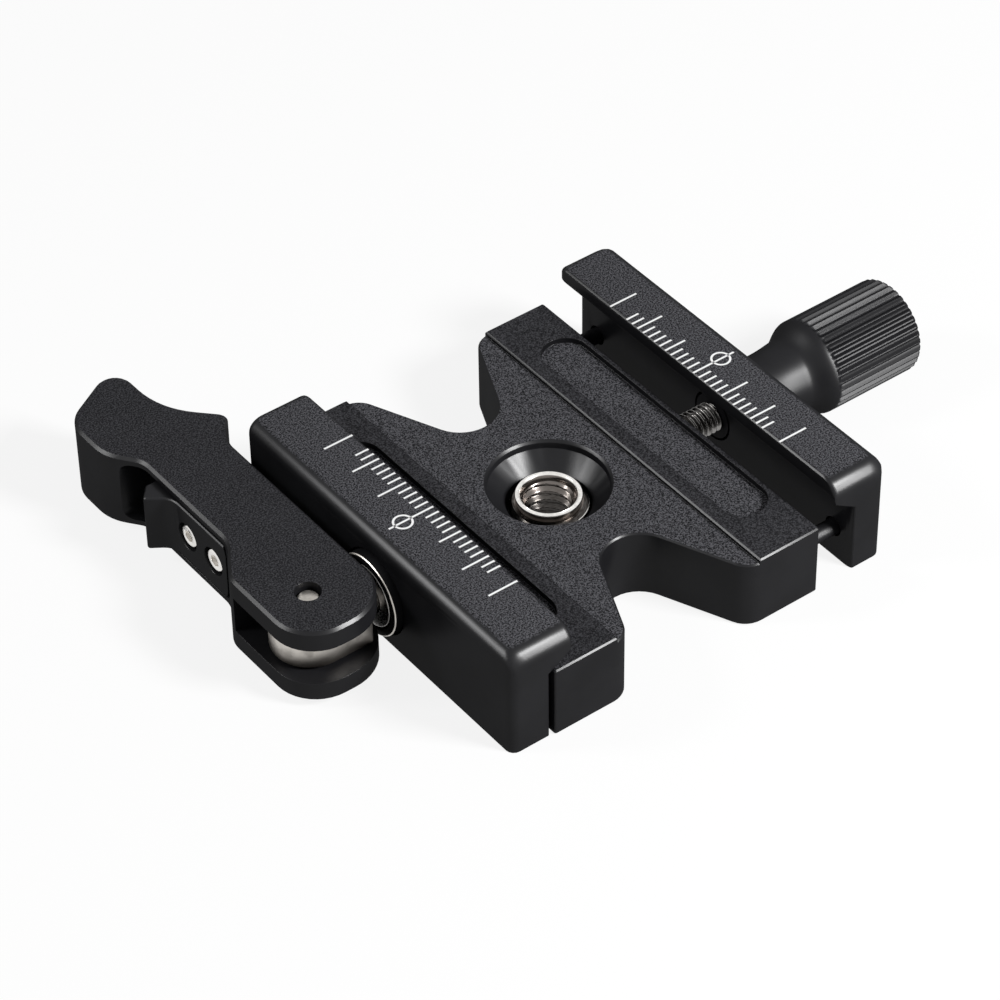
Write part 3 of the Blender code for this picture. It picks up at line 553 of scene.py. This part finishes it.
def turned(name, corners, centre, axis, steps=4, sides=48, ring=False):
    """A turned piece whose section has corners (place along the axis, radius, rounding of the corner)."""
    along, radius = rounded(corners, steps).T
    return surface(name, revolved(along, level(radius, sides), centre, axis), ring)


def turned_pin(name, node, axis, centre, soft):
    """A pin that fills a solid's length and width, its two rims rounded by soft."""
    low, high = span(node, axis)
    radius = radius_of(node, (axis + 1) % 3)
    return turned(name, [(low, 0, 0), (low, radius, soft), (high, radius, soft), (high, 0, 0)], centre, axis)


def thread(along, sides, pitch, depth):
    """Depth of a screw thread below its crest, for each place along the axis and each turn.

    The fractional part of (place / pitch - turn / full turn) runs once through each groove, which is a V
    with a flat crest and a flat root.
    """
    crest, root = 1 / 8, 1 / 4
    turn = np.linspace(0, 1, sides, endpoint=False)
    phase = (along[:, None] / pitch - turn[None, :]) % 1.0
    wave = 1 - np.abs(2 * phase - 1)
    return depth * np.clip((wave - crest) / (1 - crest - root), 0, 1)


def coil(low, high, wire, turns, steps=18, sides=8):
    """Points of a coil spring along Y that fills the box from low to high.

    The wire's middle line runs at the coil's radius times cosine and sine of the turn and climbs evenly.
    Round it each ring adds the wire's radius times cosine outward and times sine along Y.
    """
    turn = np.linspace(0, 2 * np.pi * turns, turns * steps + 1)[:, None]
    around = np.linspace(0, 2 * np.pi, sides, endpoint=False)[None, :]
    reach = (high[Z] - low[Z]) / 2 - wire + wire * np.cos(around)
    climb = low[Y] + wire + (high[Y] - low[Y] - 2 * wire) * turn / turn[-1] + wire * np.sin(around)
    heart = (low + high) / 2
    return np.stack([heart[X] + reach * np.cos(turn), climb, heart[Z] + reach * np.sin(turn)], -1)


def end_round(points, radius):
    """Points of a jaw with the rounding of its ends' top edges made larger.

    The solid's top drops by half of F (1 - the root of 1 - s squared), where F is its fillet and s runs from
    0 to 1 along it. Here s runs over the larger radius R instead, the drop is R (1 - the root of 1 - s
    squared), and heights between the shoulder and the top shrink in proportion.
    """
    place = np.abs(points[:, Y])
    end = place.max()
    share = np.clip(1 - (end - place) / SOLID_END_ROUND, 0, 1)
    lift = 1 - np.sqrt(1 - share * share)
    old_top, new_top = JAW_TOP - 0.5 * SOLID_END_ROUND * lift, JAW_TOP - radius * lift
    weight = np.clip((points[:, Z] - JAW_SHOULDER) / (old_top - JAW_SHOULDER), 0, 1)
    widened = 1 + (radius / SOLID_END_ROUND - 1) * np.clip(weight * 4 - 3, 0, 1)
    moved = np.sign(points[:, Y]) * (end - (end - place) * widened)
    points[:, Y] = np.where(place > end - SOLID_END_ROUND - 0.01 * MM, moved, points[:, Y])
    lowered = JAW_SHOULDER + weight * (new_top - JAW_SHOULDER)
    points[:, Z] = np.where(points[:, Z] > JAW_SHOULDER, lowered, points[:, Z])
    return points


def edge_worn_copy(node, width, segments=2, end_radius=None):
    """A merged copy of a solid with its edges rounded to a width, which catch the light as milled ones do.

    A jaw's ends are first rounded to end_radius, and faces that lie in one plane are joined.
    """
    name = "finished_" + node
    mesh = bpy.data.meshes.new(name)
    work = bmesh.new()
    work.from_mesh(frame["nodes"][node].data)
    bmesh.ops.remove_doubles(work, verts=work.verts, dist=2e-6)
    if end_radius:
        work.to_mesh(mesh)
        points = np.empty(3 * len(mesh.vertices))
        mesh.vertices.foreach_get("co", points)
        mesh.vertices.foreach_set("co", end_round(points.reshape(-1, 3), end_radius).ravel())
        work.clear()
        work.from_mesh(mesh)
    joints = [edge for edge in work.edges if edge.is_manifold]
    bmesh.ops.dissolve_limit(work, angle_limit=np.radians(0.4), verts=work.verts, edges=joints)
    work.to_mesh(mesh)
    work.free()
    shade(mesh, EDGE_ANGLE)
    made = placed(name, mesh)
    bevel = made.modifiers.new("Edge round", "BEVEL")
    bevel.width = width
    bevel.segments = segments
    bevel.limit_method = "ANGLE"
    bevel.angle_limit = np.radians(EDGE_ANGLE)
    bevel.harden_normals = True
    bevel.use_clamp_overlap = True
    return made


class CLAMP_OT_black_parts(bpy.types.Operator):
    """Rounds and finishes the anodised base, jaws, lever and lock tab"""

    bl_idname = "clamp.black_parts"
    bl_label = "Anodised parts"

    def execute(self, context):
        sizes = context.scene.clamp_sizes
        kinds = {"base_body": ", base", "lever_jaw": "", "knob_jaw": ""}
        kinds.update({"lever": ", fine", "lock_tab": ", fine"})
        for node, kind in kinds.items():
            end_radius = sizes.jaw_end_round if node.endswith("jaw") else None
            made = edge_worn_copy(node, sizes.edge_round, end_radius=end_radius)
            dress_node(made, node, "Black anodised" + kind)
        return {"FINISHED"}


class CLAMP_OT_eye(bpy.types.Operator):
    """Finishes the eye block and turns the lever's pin"""

    bl_idname = "clamp.eye"
    bl_label = "Eye and pin"

    def execute(self, context):
        dress_node(edge_worn_copy("eye_bolt", 0.15 * MM, segments=3), "eye_bolt", "Eye steel")
        pin = turned_pin("turned_pivot_pin", "lever_pivot_pin", Z, PIVOT, 0.18 * MM)
        dress_node(pin, "lever_pivot_pin", "Satin steel")
        return {"FINISHED"}


class CLAMP_OT_bushing(bpy.types.Operator):
    """Cuts the threads inside and outside the tripod bushing"""

    bl_idname = "clamp.bushing"
    bl_label = "Tripod bushing"

    def execute(self, context):
        sizes = context.scene.clamp_sizes
        low, high = span("tripod_bushing", Z)
        outer, bore = 4.7 * MM, 2.62 * MM
        outer_groove, inner_groove, lead = 0.62 * MM, 0.52 * MM, 0.4 * MM
        sides = 96
        # Below the top and from the axis, in mm: neck, lip, flat ring with a fine line, way into the mouth.
        ring = MM * np.array(
            [(1.0, 4.25), (1.0, 3.75), (0.12, 3.95), (0, 3.87), (0, 3.52), (0.03, 3.49), (0.03, 3.46),
             (0, 3.43), (0, 3.38), (0.12, 3.28), (0.5, 3.05)]
        )
        outside = np.linspace(low + 0.3 * MM, high - 1.2 * MM, 90)
        inside = np.linspace(high - 0.7 * MM, low + 0.6 * MM, 110)
        opened = lead * np.clip((inside[:, None] - (high - 1.1 * MM)) / lead, 0, 1)
        along = np.concatenate([[low], outside, high - ring[:, 0], inside, [low]])
        radius = np.concatenate([
            level([outer - 0.3 * MM], sides),
            outer - thread(outside, sides, sizes.bushing_pitch, outer_groove),
            level(ring[:, 1], sides),
            bore + np.maximum(thread(inside, sides, sizes.tripod_pitch, inner_groove), opened),
            level([bore + 0.5 * MM], sides),
        ])
        bushing = surface("threaded_bushing", revolved(along, radius, CENTRE, Z), ring=True, angle=40)
        dress_node(bushing, "tripod_bushing", "Plated bushing")
        return {"FINISHED"}


class CLAMP_OT_knob(bpy.types.Operator):
    """Cuts the ridges of the knob's grip and the thread of its screw"""

    bl_idname = "clamp.knob"
    bl_label = "Knob and screw"

    def execute(self, context):
        self.knob(context.scene.clamp_sizes)
        self.screw(context.scene.clamp_sizes)
        return {"FINISHED"}

    def knob(self, sizes):
        """The knob: a hollow neck, a flare and a ridged grip, with a bore for the screw.

        The flare goes from the neck's radius to the grip's by 3 s squared - 2 s cubed. From ridge to ridge t
        goes from 0 to 1, and the radius is less by the depth times 1.2 sine (pi t) to the power 1.3, less
        0.15, held between 0 and 1.
        """
        low, high = span("knob", X)
        reach = radius_of("knob", Y)
        neck, neck_length, flare_length = 4.6 * MM, 6.5 * MM, 3.2 * MM
        bore, bore_depth = 2.2 * MM, 9.3 * MM
        flare = low + neck_length
        grip = flare + flare_length
        across = 12
        sides = sizes.ridges * across
        body = np.concatenate([
            np.linspace(low + 0.12 * MM, flare, 14),
            np.linspace(flare, grip, 18)[1:],
            np.linspace(grip + 0.15 * MM, grip + 0.9 * MM, 6),
            np.linspace(grip + 1.2 * MM, high - 0.5 * MM, 14),
            np.linspace(high - 0.4 * MM, high, 5),
        ])
        share = np.clip((body - flare) / flare_length, 0, 1)
        waist = 0.25 * MM * np.sin(np.pi * np.clip((body - low) / neck_length, 0, 1))
        smooth = neck - waist + (reach - neck) * share * share * (3 - 2 * share)
        turn = np.arange(sides) / across % 1.0
        groove = np.clip(1.2 * np.sin(np.pi * turn) ** 1.3 - 0.15, 0, 1)
        run_in = np.clip((body - grip) / (0.55 * MM), 0, 1)
        chamfer = reach - 0.9 * np.clip(body - (high - 0.35 * MM), 0, 1)
        ridged = smooth[:, None] - sizes.ridge_depth * run_in[:, None] * groove[None, :]
        bottom, recess = low + bore_depth, high - 0.12 * MM
        along = np.concatenate([[bottom, bottom, low, low], body, [high, recess, recess]])
        radius = np.concatenate([
            level([0.2 * MM, bore, bore, neck - 0.15 * MM], sides),
            np.minimum(ridged, chamfer[:, None]),
            level([reach - 1.0 * MM, reach - 1.15 * MM, 0.4 * MM], sides),
        ])
        knob = surface("ridged_knob", revolved(along, radius, AXIS, X), angle=38)
        dress_node(knob, "knob", "Black anodised, turned")

    def screw(self, sizes):
        """The screw: a thread whose crest is held under a cone at its tip."""
        low, high = span("knob_screw", X)
        crest = radius_of("knob_screw", Y)
        rows_per_turn = 14
        along = np.linspace(low, high, int((high - low) / sizes.screw_pitch * rows_per_turn))
        radius = crest - thread(along, 48, sizes.screw_pitch, 0.40 * MM)
        radius = np.minimum(radius, (crest - 0.5 * MM + (along - low))[:, None])
        screw = surface("threaded_screw", revolved(along, radius, AXIS, X), angle=50)
        dress_node(screw, "knob_screw", "Dark steel")


class CLAMP_OT_pins(bpy.types.Operator):
    """Turns the guide pins with rounded ends"""

    bl_idname = "clamp.pins"
    bl_label = "Guide pins"

    def execute(self, context):
        for jaw in ("knob", "lever"):
            for side in ("near", "far"):
                node = f"{jaw}_guide_pin_{side}"
                pin = turned_pin("turned_" + node, node, X, middle(node), 0.3 * MM)
                dress_node(pin, node, "Black anodised, turned")
        return {"FINISHED"}


class CLAMP_OT_thrust(bpy.types.Operator):
    """Turns the thrust cup and its ring"""

    bl_idname = "clamp.thrust"
    bl_label = "Thrust cup and ring"

    def execute(self, context):
        bore = 2.3 * MM
        front, back = span("thrust_cup", X)
        radius = radius_of("thrust_cup", Y)
        rim, dish = radius - 0.9 * MM, front + 0.8 * MM
        corners = [(back, bore, 0), (back, radius, 0.1 * MM), (front, radius, 0.22 * MM)]
        corners += [(front, rim, 0.12 * MM), (dish, rim, 0.25 * MM), (dish, bore, 0)]
        cup = turned("turned_thrust_cup", corners, AXIS, X, steps=5, sides=96, ring=True)
        dress_node(cup, "thrust_cup", "Black anodised, turned")
        self.polish(cup.data, front, radius)
        front, back = span("thrust_ring", X)
        radius = radius_of("thrust_ring", Y)
        corners = [(back, bore, 0), (back, radius, 0.05 * MM)]
        corners += [(front, radius, 0.16 * MM), (front, bore, 0.1 * MM)]
        ring = turned("turned_thrust_ring", corners, AXIS, X, sides=96, ring=True)
        dress_node(ring, "thrust_ring", "Dark steel")
        return {"FINISHED"}

    def polish(self, mesh, front, radius):
        """Gives the cup's outer edge, where the black is worn off, the satin steel's finish."""
        worn = 0.14 * MM
        mesh.materials.append(finishes()["Satin steel"])
        centres = np.empty(3 * len(mesh.polygons))
        mesh.polygons.foreach_get("center", centres)
        centres = centres.reshape(-1, 3)
        away = np.hypot(centres[:, Y] - AXIS[Y], centres[:, Z] - AXIS[Z])
        edge = (away > radius - worn) & (centres[:, X] < front + worn)
        mesh.polygons.foreach_set("material_index", edge.astype(np.int32))


class CLAMP_OT_lock_screws(bpy.types.Operator):
    """Turns the lock's screws, with hexagon sockets in their heads"""

    bl_idname = "clamp.lock_screws"
    bl_label = "Lock screws"

    def execute(self, context):
        for node in ("lock_screw_rear", "lock_screw_front"):
            dress_node(self.screw(node), node, "Bright steel")
        return {"FINISHED"}

    def screw(self, node):
        """A socket screw.

        The hexagon's radius is the reach of its flats over the cosine of the turn from a flat's middle.
        """
        low, high = span(node, X)
        radius = radius_of(node, Y)
        sides = 96
        head, shank, soft_rim, socket_corner = 0.85 * MM, 1.0 * MM, 0.05 * MM, 0.78 * MM
        corners = [(low, radius * 0.75, 0), (low, radius, 0.3 * MM), (low + head, radius, 0)]
        corners += [(low + head, shank, 0), (high, shank, 0.2 * MM), (high, 0.1 * MM, 0)]
        outside, outer_radius = rounded(corners, 5).T
        sixth = np.pi / 3
        turn = np.linspace(0, 2 * np.pi, sides, endpoint=False)
        flats = socket_corner * np.cos(sixth / 2)
        hexagon = flats / np.cos((turn + sixth / 2) % sixth - sixth / 2)
        # Below the head's face, in mm: the middle and the edge of the socket's floor, its mouth and its rim.
        along = np.concatenate([low + MM * np.array([0.62, 0.55, 0.02, 0]), outside])
        socket = np.stack([hexagon * 0.1, hexagon, hexagon, hexagon + soft_rim])
        points = revolved(along, np.concatenate([socket, level(outer_radius, sides)]), middle(node), X)
        return surface("socket_" + node, points, angle=35)


class CLAMP_OT_hidden(bpy.types.Operator):
    """Finishes the pieces that stay as the solids are, and winds the lock's spring"""

    bl_idname = "clamp.hidden"
    bl_label = "Springs, bar, washer and clip"

    def execute(self, context):
        plain = {
            "lock_bar": "Satin steel",
            "knob_washer": "Dark steel",
            "knob_clip": "Black anodised, turned",
            "return_spring_near": "Dark steel",
            "return_spring_far": "Dark steel",
        }
        for node, finish in plain.items():
            mesh = frame["nodes"][node].data
            mesh.materials.clear()
            mesh.materials.append(finishes()[finish])
        self.lock_spring()
        return {"FINISHED"}

    def lock_spring(self):
        """The lock's spring, a coil that fills the solid's box; the real one is pressed to less than half its
        length when the tab is slid back.
        """
        low, high = (np.array(corner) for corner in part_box("lock_spring"))
        spring = surface("lock_spring_coil", coil(low, high, wire=0.2 * MM, turns=7))
        dress_node(spring, "lock_spring", "Dark steel")
        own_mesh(spring)


class CLAMP_OT_scales(bpy.types.Operator):
    """Marks the white scale on both jaws"""

    bl_idname = "clamp.scales"
    bl_label = "Printed scales"

    def execute(self, context):
        sizes = context.scene.clamp_sizes
        self.scale("lever_jaw", -16.3 * MM, -20.5 * MM, -1, sizes)
        self.scale("knob_jaw", 21.2 * MM, 25.35 * MM, 1, sizes)
        return {"FINISHED"}

    def scale(self, node, inner, middle_mark, out, sizes):
        """A jaw's scale: lines from inner outwards, the way of out, and a ring round middle_mark."""
        half = sizes.mark_width / 2
        low, high = JAW_TOP - 0.03 * MM, JAW_TOP + 0.002 * MM
        lines = self.lines(inner, middle_mark, out, sizes.mark_step, half, low, high)
        circle = self.circle(middle_mark, half, low, high)
        box = np.array([[0, 1, 5, 4], [1, 2, 6, 5], [2, 3, 7, 6], [3, 0, 4, 7], [4, 5, 6, 7], [3, 2, 1, 0]])
        line_faces = box[None] + 8 * np.arange(len(lines))[:, None, None]
        faces = [*line_faces.reshape(-1, 4), *(grid_faces(*circle.shape[:2], ring=True) + lines[..., 0].size)]
        points = np.concatenate([lines.reshape(-1, 3), circle.reshape(-1, 3)]) + CENTRE
        name = "scale_of_" + node
        mesh = bpy.data.meshes.new(name)
        mesh.from_pydata(points.tolist(), [], np.array(faces).tolist())
        work = bmesh.new()
        work.from_mesh(mesh)
        bmesh.ops.recalc_face_normals(work, faces=work.faces)
        work.to_mesh(mesh)
        work.free()
        dress(placed(name, mesh), "Scale white", node)

    def lines(self, inner, middle_mark, out, step, half, low, high):
        """Corners of a thin box for each line, at its number times the step, give or take half a width."""
        number = np.array([*range(-12, 0), *range(1, 13), -15, 15, 0])
        length = np.full(len(number), 1.8 * MM)
        length[np.abs(number) == 10] = 3.7 * MM
        length[number == 5 * out] = 3.0 * MM
        length[number == -5 * out] = 3.9 * MM
        length[np.abs(number) == 15] = 3.95 * MM
        length[number == 0] = abs(middle_mark - inner) + 1.95 * MM
        ends = inner + out * np.stack([length * 0, length], 1)
        x = ends[:, [0, 1, 1, 0, 0, 1, 1, 0]]
        y = (number * step)[:, None] + half * np.array([-1, -1, 1, 1, -1, -1, 1, 1])
        z = np.broadcast_to(np.array([low] * 4 + [high] * 4), x.shape)
        return np.stack([x, y, z], -1)

    def circle(self, middle_mark, half, low, high):
        """A ring of square section: its radius, give or take half a line's width, times cosine and sine."""
        turn = np.linspace(0, 2 * np.pi, 48, endpoint=False)[None, :]
        radius = (1.1 * MM + half * np.array([-1, 1, 1, -1]))[:, None]
        height = np.array([low, low, high, high])[:, None] + 0 * turn
        return np.stack([middle_mark + radius * np.cos(turn), radius * np.sin(turn), height], -1)


class CLAMP_OT_stage(bpy.types.Operator):
    """Sets up the floor, the room, the lamps and the camera"""

    bl_idname = "clamp.stage"
    bl_label = "Studio"

    def execute(self, context):
        studio = context.scene.clamp_studio
        self.floor(studio)
        self.room(studio)
        self.lamp("Front lamp", (0.22, -0.40, 0.38), (0.14, 0.14), studio.key)
        self.lamp("Left lamp", (-0.41, 0.23, 0.37), (0.11, 0.11), studio.back)
        self.lamp("Front sheen", (0.262, -0.480, 0.235), (0.18, 0.58), studio.front_sheen, sheen=True)
        self.lamp("Left sheen", (-0.42, 0.25, 0.35), (0.40, 0.40), studio.left_sheen, sheen=True)
        self.camera()
        context.scene.view_settings.view_transform = "Standard"
        return {"FINISHED"}

    def floor(self, studio):
        """A wide floor. Rays that show the background see white paper and a share of the lit floor.

        That share holds the clamp's shadow. All other rays see a darker table, so that it lights little.
        """
        reach, under, paper_share = 3.0, -0.02 * MM, 0.86
        mesh = bpy.data.meshes.new("floor")
        corners = [(x * reach, y * reach, under) for x, y in ((-1, -1), (1, -1), (1, 1), (-1, 1))]
        mesh.from_pydata(corners, [], [(0, 1, 2, 3)])
        paper = Finish("Floor paper")
        seen = paper.background_rays()
        paper.set(Base_Color=paper.mix(seen, studio.table, studio.floor))
        paper.set(Roughness=0.9, Specular_IOR_Level=0.0)
        lit = Value(paper.tree, paper.shader.outputs[0])
        white = paper.node("ShaderNodeEmission", Color=(1, 1, 1), Strength=1.0)
        shown = paper.node("ShaderNodeMixShader", i0=seen * paper_share, i1=lit, i2=white)
        paper.feed(paper.tree.nodes["Material Output"].inputs["Surface"], shown)
        mesh.materials.append(paper.material)
        floor = placed("floor", mesh)

    def room(self, studio):
        """A white room: full white where the camera or a gloss sees it, dimmer as a light."""
        world = bpy.data.worlds.new("Studio room")
        world.use_nodes = True
        bpy.context.scene.world = world
        nodes = Nodes(world.node_tree)
        back = nodes.tree.nodes["Background"]
        nodes.feed(back.inputs["Color"], (1, 1, 1))
        nodes.feed(back.inputs["Strength"], nodes.background_rays() * (1 - studio.sky) + studio.sky)

    def lamp(self, name, place, size, power, sheen=False):
        """A lamp that faces the clamp; a sheen lamp is oval and shows in the anodised pieces' gloss alone."""
        data = bpy.data.lights.new(name, "AREA")
        data.shape = "ELLIPSE" if sheen else "RECTANGLE"
        data.size, data.size_y = size
        data.energy = power
        made = placed(name, data)
        made.matrix_world = facing(np.array(place), np.array([0, 0, 6 * MM]))
        if sheen:
            made.visible_diffuse = False
            made.light_linking.receiver_collection = bpy.data.collections[ANODISED_PIECES]

    def camera(self):
        """The photograph's camera: turned 36.66 degrees from +Y towards +X, looking 41.88 degrees down."""
        data = bpy.data.cameras.new("Camera")
        data.sensor_width = 36
        data.lens = 147.313
        data.clip_start = 0.01
        turn, down, roll = np.radians([36.6552, 41.8782, -0.9393])
        ahead = np.array([np.sin(turn) * np.cos(down), np.cos(turn) * np.cos(down), -np.sin(down)])
        level_right = np.array([np.cos(turn), -np.sin(turn), 0])
        level_up = np.cross(level_right, ahead)
        right = np.cos(roll) * level_right + np.sin(roll) * level_up
        up = -np.sin(roll) * level_right + np.cos(roll) * level_up
        made = placed("Camera", data)
        made.matrix_world = pose(right, up, -ahead, np.array([-213.301, -277.258, 320.054]) * MM + CENTRE)
        bpy.context.scene.camera = made


def pose(right, up, back, place):
    """The matrix of an object whose X, Y and Z axes point right, up and back."""
    matrix = np.eye(4)
    matrix[:3] = np.stack([right, up, back, place], 1)
    return Matrix(matrix)


def facing(place, target):
    """The matrix of a lamp at a place, its -Z towards the target."""
    back = (place - target) / np.linalg.norm(place - target)
    right = np.cross((0, 0, 1), back)
    right /= np.linalg.norm(right)
    return pose(right, np.cross(back, right), back, place)


class CLAMP_PT_panel(bpy.types.Panel):
    """Lists the clamp's sizes, finishes, studio and steps"""

    bl_idname = "CLAMP_PT_panel"
    bl_label = "Quick release clamp"
    bl_space_type = "VIEW_3D"
    bl_region_type = "UI"
    bl_category = "Clamp"

    def draw(self, context):
        for group_name, group in GROUPS.items():
            for name in group.__annotations__:
                self.layout.prop(getattr(context.scene, group_name), name)
        for operator in STEPS:
            self.layout.operator(operator.bl_idname)


GROUPS = {"clamp_sizes": ClampSizes, "clamp_finishes": ClampFinishes, "clamp_studio": ClampStudio}
STEPS = (
    CLAMP_OT_black_parts,
    CLAMP_OT_eye,
    CLAMP_OT_bushing,
    CLAMP_OT_knob,
    CLAMP_OT_pins,
    CLAMP_OT_thrust,
    CLAMP_OT_lock_screws,
    CLAMP_OT_hidden,
    CLAMP_OT_scales,
    CLAMP_OT_stage,
)
CLASSES = (*GROUPS.values(), *STEPS, CLAMP_PT_panel)


def register():
    for kind in CLASSES:
        bpy.utils.register_class(kind)
    for name, kind in GROUPS.items():
        setattr(bpy.types.Scene, name, bpy.props.PointerProperty(type=kind))


def unregister():
    for name in GROUPS:
        delattr(bpy.types.Scene, name)
    for kind in reversed(CLASSES):
        bpy.utils.unregister_class(kind)


def main():
    register()
    for operator in STEPS:
        group, step = operator.bl_idname.split(".")
        getattr(getattr(bpy.ops, group), step)()


if __name__ == "__main__":
    main()
